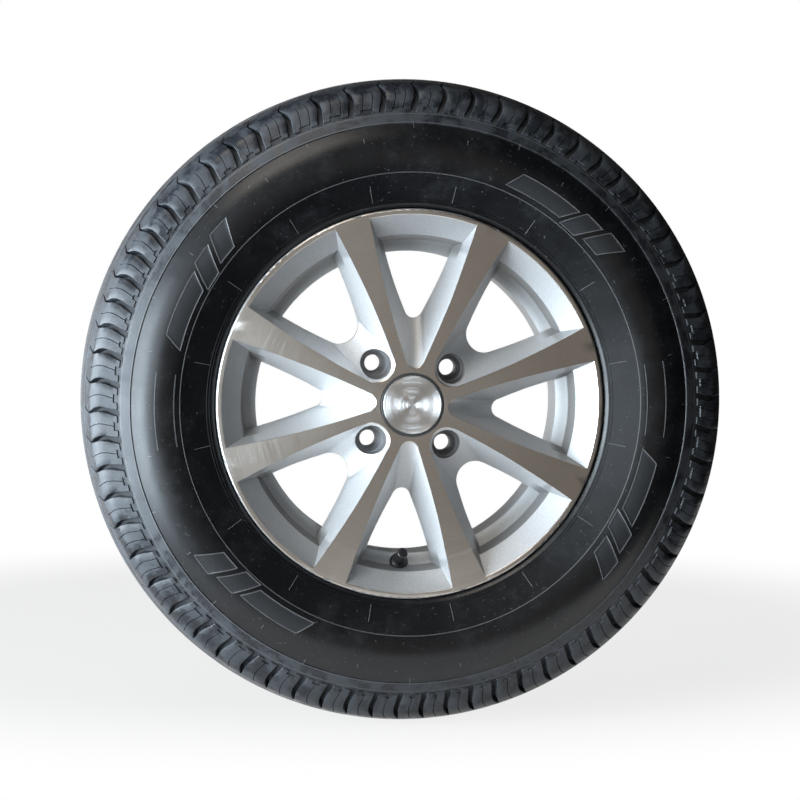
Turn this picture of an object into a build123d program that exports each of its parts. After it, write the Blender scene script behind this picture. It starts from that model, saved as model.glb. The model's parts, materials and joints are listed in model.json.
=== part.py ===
from build123d import *
import math
import os

# A 13 inch light-van wheel: cast wheel, tyre, snap-in valve and centre cap.
# Sizes are in mm. Radii are from the axle and heights run along it, from the middle of the rim
# towards the street side. The pieces are drawn with the axle on Z and turned upright at the end.

# Rim
SEAT_R = 164.7
SEAT_TAPER = 5.0
SEAT_LENGTH = 18.5
HEEL_ROUND = 6.5
RIM_WIDTH = 127.0
FLANGE_HEIGHT = 17.3
FLANGE_CURL = 8.0
FLANGE_EDGE_ROUND = 2.0
LIP_DEPTH = 12.5
LIP_WIDTH = 4.7
BACK_FLANGE_DEPTH = 11.5
HUMP_HEIGHT = 1.0
HUMP_LENGTH = 3.6
WELL_DEPTH = 18.5
WELL_WALL = 3.8
WELL_LENGTH = 28.0
WELL_ROUND = 2.0
WELL_WALL_SLOPE = 8.0
BACK_SLOPE_LENGTH = 36.0
BARREL_WALL = 5.0
BARREL_ROUND = 12.0
LEDGE_WALL_FRONT = 6.7
LEDGE_WALL_BACK = 11.2
LEDGE_LENGTH = 14.0
LEDGE_DROP = 1.5
LEDGE_ROUND = 1.6

# Face, spokes and hub
FACE_RISE = 7.0
CROWN_R = 105.0
CROWN_RISE = 5.3
CROWN_ROUND = 1500.0
SPOKE_DEPTH = 36.0
SPOKE_BACK_RISE = 2.0
MOUNT_OFFSET = 35.0
PAD_R = 68.0
PAD_CHAMFER = 3.0
CLOCKING = 3.8

# Windows, on the face and at the far end of their ramps
WINDOW_PAIRS = 4
WINDOW_DRAFT = 20.4
RAMP_DROP = 33.0
SIDE_BOW = 2.0
SMALL_TIP_R = 33.0
SMALL_TIP_ROUND = 9.0
SMALL_OPENING_R = 80.0
SMALL_OPENING_ROUND = 9.0
SMALL_CORNER = 50.4
LUG_TIP_R = 32.5
LUG_TIP_ROUND = 17.5
LUG_OPENING_R = 79.7
LUG_OPENING_ROUND = 18.0
LUG_CORNER = 54.0

# Hollows behind the spokes
HOLLOW_START_R = 90.0
HOLLOW_END_R = 146.0
HOLLOW_WALL = 6.5
HOLLOW_FLOOR = 9.0
HOLLOW_START_WIDTH = 18.0
HOLLOW_END_WIDTH = 40.0
HOLLOW_ANGLE = 21.5
HOLLOW_TOP_SHARE = 0.3

# Wheel bolts
BOLT_PCD = 100.0
BOLT_COUNT = 4
BOLT_HOLE_R = 7.75
BOLT_LAND = 13.0
BOLT_SEAT_R = 11.8
BOLT_SEAT_ANGLE = 30.0
BOLT_POCKET_R = 13.9

# Hub bore and pad reliefs
BORE_R = 30.05
BORE_LENGTH = 24.0
BORE_CHAMFER = 1.5
HOOK_R = 31.0
HOOK_LENGTH = 9.0
RELIEF_LENGTH = 34.0
RELIEF_WIDTH = 20.0
RELIEF_DEPTH = 8.0

# Centre cap
CAP_R = 29.4
CAP_GAP = 0.7
CAP_FLANGE = 3.6
CAP_EDGE_ROUND = 0.8
CAP_SEAT_DEPTH = 3.8
CAP_FACE_R = 27.4
CAP_FACE_THICKNESS = 0.8
CAP_FACE_GAP = 0.1
CAP_WALL = 2.2
CAP_LEG_R = 27.2
CAP_LEG_GAP = 0.3
CAP_BARB = 1.3
CAP_BARB_LENGTH = 4.0
CAP_LEGS = 6
CAP_LEG_SLOT = 5.0
CAP_SPRING_WIRE = 0.8
CAP_SPRING_SINK = 0.5
CAP_SPRING_GAP = 8.0

# Tyre
SECTION_HEIGHT = 139.3
SECTION_WIDTH = 178.0
SIDE_SWELL = 3.7
TREAD_WIDTH = 116.0
TREAD_DROP = 6.5
TREAD_THICKNESS = 13.5
SHOULDER_DROP = 12.0
SHOULDER_WIDTH = 132.0
BLOCK_FOOT_DROP = 32.5
BLOCK_FOOT_WIDTH = 149.0
WIDEST_HEIGHT = 71.3
WIDEST_ROUND = 44.0
SIDEWALL = 8.2
LOWER_HEIGHT = 22.3
LOWER_WIDTH = 151.0
LOWER_WALL = 14.0
BEAD_TOE_ROUND = 2.0
BEAD_TOE_HEIGHT = 6.0
HEEL_GAP = 1.0
FLANGE_GAP = 1.2
BEAD_HEIGHT = 24.0
LINER_ROUND = 11.0
LINER_SHOULDER_ROUND = 22.0
GROOVE_DEPTH = 8.0
MAIN_GROOVE_AT = 17.0
MAIN_GROOVE = 9.0
FINE_GROOVE_AT = 40.0
FINE_GROOVE = 3.5

# Shoulder slots, in the pitch sequence that keeps a tyre quiet
PITCH_RUNS = (
    ("M", 7), ("S", 4), ("M", 6), ("L", 6), ("M", 7), ("S", 7),
    ("M", 5), ("L", 4), ("M", 6), ("S", 5), ("M", 5), ("L", 5),
)
PITCH_LENGTHS = {"S": 0.88, "M": 1.0, "L": 1.15}
PITCH_START = 0.5
SLOT_WIDTH = 4.6
SLOT_FOOT_WIDTH = 3.4
SLOT_DEPTH = 7.0
SLOT_SWING = 3.5
SLOT_LEAN = 3.0
SLOT_REACH = 12.0
SLOT_FOOT_DEPTH = 1.0
SLOT_FOOT_RISE = 1.0

# Valve: distances along its stem are from the rim's street side
VALVE_ANGLE = 183.0
VALVE_PLACE = 0.45
VALVE_WALL = 4.0
VALVE_HOLE_R = 5.75
VALVE_NECK_GAP = 0.05
VALVE_SPOT_R = 8.7
VALVE_COLLAR_R = 8.2
VALVE_COLLAR_LENGTH = 8.0
VALVE_COLLAR_ROUND = 3.0
VALVE_STEM_R = 5.0
VALVE_STEM_ROUND = 1.0
VALVE_BODY_LENGTH = 15.0
VALVE_FOOT_R = 7.0
VALVE_FOOT_RIM = 2.0
VALVE_FOOT_END_R = 5.6
VALVE_FOOT_LENGTH = 8.0
TUBE_R = 3.85
TUBE_ROOT_R = 3.1
TUBE_LENGTH = 25.5
TUBE_BORE_R = 2.15
TUBE_AIR_R = 1.4
TUBE_BORE_END = 6.0
CORE_GAP = 0.05
CORE_START = 12.0
CORE_END_SINK = 1.0
CORE_GUIDE_R = 0.7
CORE_CHAMBER_R = 1.6
CORE_CHAMBER_START = 16.5
PIN_R = 0.6
PIN_TIP_SINK = 0.3
PIN_CUP_R = 1.7
PIN_CUP = 1.0
PIN_COLLAR_R = 1.4
PIN_COLLAR = 0.8
PIN_COLLAR_SINK = 1.4
CORE_SEAL = 1.6
CORE_SEAL_R = 1.9
SPRING_R = 1.1
SPRING_WIRE = 0.16
SPRING_TURNS = 5
DUST_CAP_R = 5.2
DUST_CAP_WALL = 1.25
DUST_CAP_GAP = 0.4
DUST_CAP_TOP = 3.0
DUST_CAP_ROUND = 2.0
WASHER = 1.6
WASHER_GAP = 0.1
WASHER_ROOF_GAP = 0.05

# Places that follow from the sizes above
HALF_WIDTH = RIM_WIDTH / 2
FLANGE_R = SEAT_R + FLANGE_HEIGHT
LIP_R = FLANGE_R - LIP_WIDTH
LIP_Z = HALF_WIDTH + LIP_DEPTH
FACE_Z = LIP_Z + FACE_RISE
WELL_R = SEAT_R - WELL_DEPTH
TAPER = math.tan(math.radians(SEAT_TAPER))
SEAT_END_R = SEAT_R - SEAT_LENGTH * TAPER
SEAT_END_Z = HALF_WIDTH - SEAT_LENGTH
SLOPE_TOP_Z = SEAT_END_Z - HUMP_LENGTH / 2
WELL_Z = SLOPE_TOP_Z - WELL_WALL_SLOPE
WELL_BACK_Z = WELL_Z - WELL_LENGTH
SPOKE_BACK_Z = FACE_Z - SPOKE_DEPTH
RAMP_END_Z = FACE_Z - RAMP_DROP
BOLT_R = BOLT_PCD / 2
BORE_END_Z = MOUNT_OFFSET + BORE_LENGTH
HOOK_Z = BORE_END_Z + HOOK_LENGTH
CAP_SEAT_Z = FACE_Z - CAP_SEAT_DEPTH
CAP_FRONT_Z = CAP_SEAT_Z + CAP_FLANGE
TYRE_R = SEAT_R + SECTION_HEIGHT
TREAD_EDGE = TREAD_WIDTH / 2
CUT_MARGIN = 10.0


def turned(*corners):
    """A body of revolution about Z, from corners given as (radius, height, rounding)."""
    points = [(radius, height) for radius, height, rounding in corners]
    roundings = [rounding for radius, height, rounding in corners]
    outline = FilletPolyline(*points, radius=roundings, close=True)
    return revolve(Plane.XZ * make_face(outline), Axis.Z)


def disc(radius, start, end):
    """A plain cylinder on Z between two heights."""
    height = end - start
    return Pos(0, 0, start) * Cylinder(radius, height, align=(Align.CENTER, Align.CENTER, Align.MIN))


def around(shape, count, first=0.0):
    """Copies of a shape drawn at the top, spread clockwise round the axle."""
    return [Rot(0, 0, -(first + index * 360 / count)) * shape for index in range(count)]


def rim():
    """The drop-centre rim, with both flanges and the bevel and ledge that end the windows."""
    hump_r = SEAT_END_R + HUMP_HEIGHT
    hump_z = SEAT_END_Z - HUMP_LENGTH / 4
    inner_well_r = WELL_R - WELL_WALL
    slope_end_z = WELL_BACK_Z - BACK_SLOPE_LENGTH
    ledge_front_z = HALF_WIDTH - LEDGE_DROP
    ledge_back_z = ledge_front_z - LEDGE_LENGTH
    back_z = -HALF_WIDTH - BACK_FLANGE_DEPTH
    barrel_r = SEAT_END_R - BARREL_WALL
    return turned(
        (LIP_R, LIP_Z, 0),
        (FLANGE_R, LIP_Z, FLANGE_EDGE_ROUND),
        (FLANGE_R, HALF_WIDTH, FLANGE_CURL),
        (SEAT_R, HALF_WIDTH, HEEL_ROUND),
        (SEAT_END_R, SEAT_END_Z, 0),
        (hump_r, hump_z, 0),
        (SEAT_END_R, SLOPE_TOP_Z, 0),
        (WELL_R, WELL_Z, WELL_ROUND),
        (WELL_R, WELL_BACK_Z, BARREL_ROUND),
        (SEAT_END_R - HUMP_HEIGHT, slope_end_z, BARREL_ROUND),
        (SEAT_END_R, -SLOPE_TOP_Z, 0),
        (hump_r, -hump_z, 0),
        (SEAT_END_R, -SEAT_END_Z, 0),
        (SEAT_R, -HALF_WIDTH, HEEL_ROUND),
        (FLANGE_R, -HALF_WIDTH, FLANGE_CURL),
        (FLANGE_R, back_z, FLANGE_EDGE_ROUND),
        (FLANGE_R - BACK_FLANGE_DEPTH, back_z, FLANGE_EDGE_ROUND),
        (barrel_r, -HALF_WIDTH + BARREL_WALL, BARREL_ROUND),
        (barrel_r - HUMP_HEIGHT, slope_end_z - BARREL_WALL, BARREL_ROUND),
        (inner_well_r, WELL_BACK_Z - BARREL_WALL, BARREL_ROUND),
        (inner_well_r, WELL_Z + BARREL_WALL, WELL_ROUND),
        (SEAT_R - LEDGE_WALL_BACK, ledge_back_z, LEDGE_ROUND),
        (SEAT_R - LEDGE_WALL_FRONT, ledge_front_z, LEDGE_ROUND),
    )


def star_blank():
    """Hub and face before the windows are cut. Its outer edge ends inside the rim's metal."""
    back_z = SPOKE_BACK_Z
    return turned(
        (0, FACE_Z, 0),
        (CROWN_R, LIP_Z + CROWN_RISE, CROWN_ROUND),
        (FLANGE_R - FLANGE_EDGE_ROUND, LIP_Z, 0),
        (FLANGE_R - FLANGE_CURL + FLANGE_EDGE_ROUND, HALF_WIDTH + LIP_DEPTH / 2, 0),
        (SEAT_R + LIP_WIDTH, HALF_WIDTH + LIP_DEPTH / 4, 0),
        (SEAT_R - LEDGE_WALL_FRONT / 2, HALF_WIDTH - LIP_DEPTH / 4, 0),
        (SEAT_R - LEDGE_WALL_FRONT, back_z + SPOKE_BACK_RISE, 0),
        (SEAT_R - LEDGE_WALL_FRONT, back_z, 0),
        (CROWN_R, back_z - SPOKE_BACK_RISE, 0),
        (LUG_OPENING_R, back_z - 2 * SPOKE_BACK_RISE, 0),
        (PAD_R + PAD_CHAMFER, MOUNT_OFFSET + PAD_CHAMFER, 0),
        (PAD_R, MOUNT_OFFSET, 0),
        (0, MOUNT_OFFSET, 0),
    )


def window_outline(height, tip_r, tip_round, corner):
    """A window's outline at one height: round end at the hub, bowed sides, open past the lip."""
    draft = math.tan(math.radians(WINDOW_DRAFT))
    half = corner + draft * (height - LIP_Z)
    corner_v = math.sqrt(LIP_R**2 - corner**2)
    centre_v = tip_r + tip_round
    lean = math.atan2(half, corner_v - centre_v) - math.asin(tip_round / math.hypot(half, corner_v - centre_v))
    across = math.cos(lean)
    back = math.sin(lean)
    start = Vector(tip_round * across, centre_v - tip_round * back)
    end = Vector(half, corner_v)
    middle = (start + end) / 2 + Vector(across, -back) * SIDE_BOW
    outer = end + Vector(0, CUT_MARGIN + LIP_WIDTH)
    left = [Vector(-point.X, point.Y) for point in (start, middle, end, outer)]
    edges = [
        ThreePointArc(left[0], (0, tip_r), start),
        ThreePointArc(start, middle, end),
        Line(end, outer),
        Line(outer, left[3]),
        Line(left[3], left[2]),
        ThreePointArc(left[2], left[1], left[0]),
    ]
    return Pos(0, 0, height) * make_face(edges)


def window_cutter(tip_r, tip_round, opening_r, opening_round, corner):
    """The space of one window: a ramp down from the hub, then straight through to the back."""
    top_z = FACE_Z + LIP_WIDTH
    run = (opening_r - tip_r) / RAMP_DROP
    swell = (opening_round - tip_round) / RAMP_DROP
    above = top_z - FACE_Z
    top = window_outline(top_z, tip_r - run * above, tip_round - swell * above, corner)
    opening = window_outline(RAMP_END_Z, opening_r, opening_round, corner)
    below = window_outline(MOUNT_OFFSET - CUT_MARGIN, opening_r, opening_round, corner)
    return loft([top, opening], ruled=True) + loft([opening, below], ruled=True)


def spoke_hollow():
    """The core pocket behind one spoke, narrower towards the face."""
    low_z = SPOKE_BACK_Z - CUT_MARGIN
    high_z = LIP_Z - HOLLOW_FLOOR
    top_start = HOLLOW_START_R + HOLLOW_WALL
    top_end = HOLLOW_END_R - HOLLOW_WALL
    low = [
        (-HOLLOW_START_WIDTH / 2, HOLLOW_START_R),
        (HOLLOW_START_WIDTH / 2, HOLLOW_START_R),
        (HOLLOW_END_WIDTH / 2, HOLLOW_END_R),
        (-HOLLOW_END_WIDTH / 2, HOLLOW_END_R),
    ]
    start_half = HOLLOW_START_WIDTH * HOLLOW_TOP_SHARE / 2
    end_half = HOLLOW_END_WIDTH * HOLLOW_TOP_SHARE / 2
    high = [(-start_half, top_start), (start_half, top_start), (end_half, top_end), (-end_half, top_end)]
    bottom = Pos(0, 0, low_z) * make_face(Polyline(*low, close=True))
    top = Pos(0, 0, high_z) * make_face(Polyline(*high, close=True))
    return loft([bottom, top], ruled=True)


def bolt_hole():
    """Hole, coned seat and pocket of one wheel bolt."""
    land_z = MOUNT_OFFSET + BOLT_LAND
    seat_z = land_z + (BOLT_SEAT_R - BOLT_HOLE_R) / math.tan(math.radians(BOLT_SEAT_ANGLE))
    hole = turned(
        (0, MOUNT_OFFSET - CUT_MARGIN, 0),
        (BOLT_HOLE_R, MOUNT_OFFSET - CUT_MARGIN, 0),
        (BOLT_HOLE_R, land_z, 0),
        (BOLT_SEAT_R, seat_z, 0),
        (BOLT_POCKET_R, seat_z, 0),
        (BOLT_POCKET_R, FACE_Z + CUT_MARGIN, 0),
        (0, FACE_Z + CUT_MARGIN, 0),
    )
    return Pos(0, BOLT_R, 0) * hole


def pad_relief():
    """A shallow relief in the mounting pad, between two bolts."""
    return Pos(0, BOLT_R, MOUNT_OFFSET) * extrude(SlotOverall(RELIEF_LENGTH, RELIEF_WIDTH), RELIEF_DEPTH)


def hub_bore():
    """The hub's spigot bore, the room for the cap's hooks, the cap's bore and its seat."""
    cap_bore_r = CAP_LEG_R + CAP_LEG_GAP
    return turned(
        (0, MOUNT_OFFSET - CUT_MARGIN, 0),
        (BORE_R + BORE_CHAMFER, MOUNT_OFFSET - CUT_MARGIN, 0),
        (BORE_R + BORE_CHAMFER, MOUNT_OFFSET, 0),
        (BORE_R, MOUNT_OFFSET + BORE_CHAMFER, 0),
        (BORE_R, BORE_END_Z, 0),
        (HOOK_R, BORE_END_Z, 0),
        (HOOK_R, HOOK_Z, 0),
        (cap_bore_r, HOOK_Z, 0),
        (cap_bore_r, CAP_SEAT_Z, 0),
        (CAP_R + CAP_GAP, CAP_SEAT_Z, 0),
        (CAP_R + CAP_GAP, FACE_Z + CUT_MARGIN, 0),
        (0, FACE_Z + CUT_MARGIN, 0),
    )


def valve_plane():
    """The valve's own frame: on the rim's street side, along its stem."""
    slope_r = SEAT_END_R - WELL_R
    slope_z = SLOPE_TOP_Z - WELL_Z
    length = math.hypot(slope_r, slope_z)
    inward = slope_z / length
    forward = slope_r / length
    seat_r = WELL_R + VALVE_PLACE * slope_r - VALVE_WALL * inward
    seat_z = WELL_Z + VALVE_PLACE * slope_z + VALVE_WALL * forward
    angle = math.radians(VALVE_ANGLE)
    out = Vector(math.sin(angle), math.cos(angle), 0)
    axis = out * -inward + Vector(0, 0, forward)
    return Plane(origin=out * seat_r + Vector(0, 0, seat_z), x_dir=axis.cross(out), z_dir=axis)


def valve_cut():
    """The valve's hole and its spot face on the street side."""
    hole = disc(VALVE_HOLE_R, -VALVE_WALL - CUT_MARGIN / 2, CUT_MARGIN)
    spot = disc(VALVE_SPOT_R, 0, 2 * CUT_MARGIN)
    return valve_plane() * (hole + spot)


def wheel():
    """The casting: rim, hub and spokes in one."""
    small = window_cutter(SMALL_TIP_R, SMALL_TIP_ROUND, SMALL_OPENING_R, SMALL_OPENING_ROUND, SMALL_CORNER)
    lug = window_cutter(LUG_TIP_R, LUG_TIP_ROUND, LUG_OPENING_R, LUG_OPENING_ROUND, LUG_CORNER)
    step = 180 / WINDOW_PAIRS
    cutters = around(small, WINDOW_PAIRS, CLOCKING) + around(lug, WINDOW_PAIRS, CLOCKING + step)
    hollow = spoke_hollow()
    cutters += around(hollow, WINDOW_PAIRS, CLOCKING + HOLLOW_ANGLE)
    cutters += around(hollow, WINDOW_PAIRS, CLOCKING - HOLLOW_ANGLE)
    star = star_blank() - cutters
    whole = star + rim()
    cuts = around(bolt_hole(), BOLT_COUNT, CLOCKING + step)
    cuts += around(pad_relief(), BOLT_COUNT, CLOCKING)
    cuts += [hub_bore(), valve_cut()]
    return whole - cuts


def crown_r(height):
    """Radius of the tread at a height: flat in the middle, then falling in an arc to its edge."""
    flat = MAIN_GROOVE_AT - MAIN_GROOVE / 2
    reach = TREAD_EDGE - flat
    crown = (reach**2 + TREAD_DROP**2) / (2 * TREAD_DROP)
    return TYRE_R - crown + math.sqrt(crown**2 - (height - flat) ** 2)


def groove(at, width):
    """Corners of one groove round the tread, from the middle outwards."""
    near = at - width / 2
    far = at + width / 2
    floor = crown_r(at) - GROOVE_DEPTH
    return [(crown_r(near), near, 0), (floor, near, 0), (floor, far, 0), (crown_r(far), far, 0)]


def tyre_half():
    """Corners of the street half of the tyre's outline: tread to bead, then back along the inside."""
    toe_r = SEAT_END_R
    toe_z = SEAT_END_Z
    widest_r = SEAT_R + WIDEST_HEIGHT
    corner_z = SECTION_WIDTH / 2 + SIDE_SWELL
    flange_r = FLANGE_R + FLANGE_GAP
    foot_r = TYRE_R - BLOCK_FOOT_DROP
    foot_z = BLOCK_FOOT_WIDTH / 2
    lower_r = SEAT_R + LOWER_HEIGHT
    outside = [
        (crown_r(TREAD_EDGE), TREAD_EDGE, 0),
        (TYRE_R - SHOULDER_DROP, SHOULDER_WIDTH / 2, 0),
        (foot_r, foot_z, 0),
        (widest_r, corner_z, WIDEST_ROUND),
        (lower_r, LOWER_WIDTH / 2, 0),
        (flange_r, HALF_WIDTH + FLANGE_CURL + FLANGE_GAP, 0),
        (flange_r, HALF_WIDTH, FLANGE_CURL),
        (SEAT_R, HALF_WIDTH, HEEL_ROUND + HEEL_GAP),
        (toe_r, toe_z, BEAD_TOE_ROUND),
    ]
    inner_crown = TYRE_R - TREAD_THICKNESS
    inside = [
        (toe_r + BEAD_TOE_HEIGHT, toe_z, BEAD_TOE_ROUND),
        (SEAT_R + BEAD_HEIGHT, LOWER_WIDTH / 2 - LOWER_WALL, LINER_ROUND),
        (widest_r, corner_z - SIDEWALL, WIDEST_ROUND - SIDEWALL),
        (inner_crown, TREAD_EDGE - TREAD_THICKNESS / 2, LINER_SHOULDER_ROUND),
    ]
    grooves = groove(MAIN_GROOVE_AT, MAIN_GROOVE) + groove(FINE_GROOVE_AT, FINE_GROOVE)
    return grooves + outside + inside


def pitch_angles():
    """Angle of each shoulder slot, clockwise from the top."""
    pitches = [PITCH_LENGTHS[kind] for kind, count in PITCH_RUNS for repeat in range(count)]
    unit = 360 / sum(pitches)
    angles = []
    angle = PITCH_START
    for pitch in pitches:
        angles.append(angle)
        angle += pitch * unit
    return angles


def shoulder_slot():
    """The space of one slot: a bowed strip seen from the street, as deep as the tread's edge allows."""
    foot_r = TYRE_R - BLOCK_FOOT_DROP
    foot_z = BLOCK_FOOT_WIDTH / 2
    end_r = foot_r + SLOT_FOOT_RISE
    shoulder_r = TYRE_R - SHOULDER_DROP
    start_z = TREAD_EDGE - SLOT_REACH
    beyond_r = TYRE_R + CUT_MARGIN
    beyond_z = SECTION_WIDTH / 2
    strip = [
        (-SLOT_LEAN - SLOT_WIDTH / 2, beyond_r),
        (SLOT_SWING - SLOT_WIDTH / 2, shoulder_r),
        (-SLOT_FOOT_WIDTH / 2, end_r),
        (SLOT_FOOT_WIDTH / 2, end_r),
        (SLOT_SWING + SLOT_WIDTH / 2, shoulder_r),
        (-SLOT_LEAN + SLOT_WIDTH / 2, beyond_r),
    ]
    prism = Pos(0, 0, start_z) * extrude(make_face(Polyline(*strip, close=True)), beyond_z - start_z)
    skin = turned(
        (beyond_r, start_z, 0),
        (crown_r(start_z) - SLOT_DEPTH, start_z, 0),
        (shoulder_r - SLOT_DEPTH, SHOULDER_WIDTH / 2 - SLOT_DEPTH, 0),
        (foot_r, foot_z - SLOT_FOOT_DEPTH, 0),
        (foot_r, beyond_z, 0),
        (beyond_r, beyond_z, 0),
    )
    return prism & skin


def tyre():
    """The tyre on its rim, with grooves round the tread and slots across both shoulders."""
    street = tyre_half()
    back = [(radius, -height, rounding) for radius, height, rounding in reversed(street)]
    body = turned(*street, *back)
    slot = shoulder_slot()
    slots = [Rot(0, 0, -angle) * slot for angle in pitch_angles()]
    far = [Rot(180, 0, 0) * shape for shape in slots]
    return body - (slots + far)


def centre_cap():
    """The cap's moulding: flange, face recess and snap legs with barbs behind the hub's inner lip."""
    leg_end = HOOK_Z - CAP_BARB_LENGTH
    inside_r = CAP_LEG_R - CAP_WALL
    floor_z = CAP_FRONT_Z - CAP_FACE_THICKNESS
    shell = turned(
        (0, floor_z, 0),
        (CAP_FACE_R + CAP_FACE_GAP, floor_z, 0),
        (CAP_FACE_R + CAP_FACE_GAP, CAP_FRONT_Z, 0),
        (CAP_R, CAP_FRONT_Z, CAP_EDGE_ROUND),
        (CAP_R, CAP_SEAT_Z, 0),
        (CAP_LEG_R, CAP_SEAT_Z, 0),
        (CAP_LEG_R, HOOK_Z, 0),
        (CAP_LEG_R + CAP_BARB, HOOK_Z, 0),
        (CAP_LEG_R - CAP_WALL / 2, leg_end, 0),
        (inside_r, leg_end, 0),
        (inside_r, CAP_SEAT_Z, 0),
        (0, CAP_SEAT_Z, 0),
    )
    depth = CAP_SEAT_Z - leg_end
    slot_box = Box(CAP_LEG_SLOT, CAP_LEG_R, depth, align=(Align.CENTER, Align.MIN, Align.MIN))
    slot = Pos(0, CAP_LEG_R - 2 * CAP_WALL, leg_end) * slot_box
    return shell - around(slot, CAP_LEGS) - centre_cap_spring_groove()


def centre_cap_spring_groove():
    """The groove that holds the wire ring inside the legs."""
    ring_r = CAP_LEG_R - CAP_WALL + CAP_SPRING_SINK - CAP_SPRING_WIRE
    return Pos(0, 0, HOOK_Z) * Torus(ring_r, CAP_SPRING_WIRE)


def centre_cap_spring():
    """The wire ring, with its gap at the top."""
    gap = Pos(0, CAP_LEG_R, HOOK_Z) * Box(CAP_SPRING_GAP, CAP_LEG_R, CAP_SPRING_GAP)
    return centre_cap_spring_groove() - gap


def centre_cap_face():
    """The turned disc on the cap's front."""
    return disc(CAP_FACE_R, CAP_FRONT_Z - CAP_FACE_THICKNESS, CAP_FRONT_Z)


def valve_body():
    """The rubber stem: foot inside the tyre, neck in the rim's hole, collar and stem outside."""
    tail = -VALVE_WALL - VALVE_FOOT_LENGTH
    foot = -VALVE_WALL - VALVE_FOOT_RIM
    neck_r = VALVE_HOLE_R - VALVE_NECK_GAP
    return turned(
        (TUBE_ROOT_R, tail, 0),
        (VALVE_FOOT_END_R, tail, 0),
        (VALVE_FOOT_R, foot, 0),
        (VALVE_FOOT_R, -VALVE_WALL, 0),
        (neck_r, -VALVE_WALL, 0),
        (neck_r, 0, 0),
        (VALVE_COLLAR_R, 0, 0),
        (VALVE_COLLAR_R, VALVE_COLLAR_LENGTH, VALVE_COLLAR_ROUND),
        (VALVE_STEM_R, VALVE_COLLAR_LENGTH, VALVE_STEM_ROUND),
        (VALVE_STEM_R, VALVE_BODY_LENGTH, 0),
        (TUBE_R, VALVE_BODY_LENGTH, 0),
        (TUBE_R, CORE_START, 0),
        (TUBE_ROOT_R, CORE_START, 0),
    )


def valve_tube():
    """The brass tube, stepped inside the rubber and bored for the core."""
    tail = -VALVE_WALL - VALVE_FOOT_LENGTH
    return turned(
        (TUBE_AIR_R, tail, 0),
        (TUBE_ROOT_R, tail, 0),
        (TUBE_ROOT_R, CORE_START, 0),
        (TUBE_R, CORE_START, 0),
        (TUBE_R, TUBE_LENGTH, 0),
        (TUBE_BORE_R, TUBE_LENGTH, 0),
        (TUBE_BORE_R, TUBE_BORE_END, 0),
        (TUBE_AIR_R, TUBE_BORE_END, 0),
    )


def valve_core_body():
    """The core's plug: a guide for the pin, and a chamber for its spring."""
    end = TUBE_LENGTH - CORE_END_SINK
    radius = TUBE_BORE_R - CORE_GAP
    return turned(
        (CORE_GUIDE_R, CORE_START, 0),
        (radius, CORE_START, 0),
        (radius, end, 0),
        (CORE_CHAMBER_R, end, 0),
        (CORE_CHAMBER_R, CORE_CHAMBER_START, 0),
        (CORE_GUIDE_R, CORE_CHAMBER_START, 0),
    )


def valve_core_pin():
    """The pin: cup under the seal, shank through the guide, collar on the spring."""
    cup_top = CORE_START - CORE_SEAL
    tip = TUBE_LENGTH - PIN_TIP_SINK
    collar_top = TUBE_LENGTH - CORE_END_SINK - PIN_COLLAR_SINK
    collar = collar_top - PIN_COLLAR
    return turned(
        (0, cup_top - PIN_CUP, 0),
        (PIN_CUP_R, cup_top - PIN_CUP, 0),
        (PIN_CUP_R, cup_top, 0),
        (PIN_R, cup_top, 0),
        (PIN_R, collar, 0),
        (PIN_COLLAR_R, collar, 0),
        (PIN_COLLAR_R, collar_top, 0),
        (PIN_R, collar_top, 0),
        (PIN_R, tip, 0),
        (0, tip, 0),
    )


def valve_core_seal():
    """The rubber ring that the pin's cup presses on the core."""
    ring = disc(CORE_SEAL_R, CORE_START - CORE_SEAL, CORE_START)
    return ring - disc(PIN_R, CORE_START - 2 * CORE_SEAL, CORE_START + CORE_SEAL)


def valve_core_spring():
    """The coil spring between the core's chamber floor and the pin's collar."""
    low = CORE_CHAMBER_START + SPRING_WIRE
    high = TUBE_LENGTH - CORE_END_SINK - PIN_COLLAR_SINK - PIN_COLLAR - SPRING_WIRE
    coil = Pos(0, 0, low) * Helix((high - low) / SPRING_TURNS, high - low, SPRING_R)
    section = Plane(origin=coil @ 0, z_dir=coil % 0) * Circle(SPRING_WIRE)
    return sweep(section, path=coil, is_frenet=True)


def valve_cap():
    """The dust cap over the tube's thread."""
    start = VALVE_BODY_LENGTH + DUST_CAP_GAP
    roof = TUBE_LENGTH + WASHER_GAP + WASHER + WASHER_ROOF_GAP
    inside_r = DUST_CAP_R - DUST_CAP_WALL
    return turned(
        (0, roof, 0),
        (inside_r, roof, 0),
        (inside_r, start, 0),
        (DUST_CAP_R, start, 0),
        (DUST_CAP_R, roof + DUST_CAP_TOP, DUST_CAP_ROUND),
        (0, roof + DUST_CAP_TOP, 0),
    )


def valve_cap_seal():
    """The rubber washer in the dust cap's roof."""
    start = TUBE_LENGTH + WASHER_GAP
    return disc(TUBE_R, start, start + WASHER)


def save(name, shape):
    """Turn a piece upright, street side to -Y, and write it."""
    export_step(Rot(90, 0, 0) * shape, f"parts/{name}.step")


def main():
    os.makedirs("parts", exist_ok=True)
    save("wheel", wheel())
    save("tyre", tyre())
    for build in (centre_cap, centre_cap_face, centre_cap_spring):
        save(build.__name__, build())
    stem = valve_plane()
    for build in (
        valve_body,
        valve_tube,
        valve_core_body,
        valve_core_pin,
        valve_core_seal,
        valve_core_spring,
        valve_cap,
        valve_cap_seal,
    ):
        save(build.__name__, stem * build())


main()
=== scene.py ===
import json
import math

import bmesh
import bpy
from mathutils import Matrix, Vector


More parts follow.
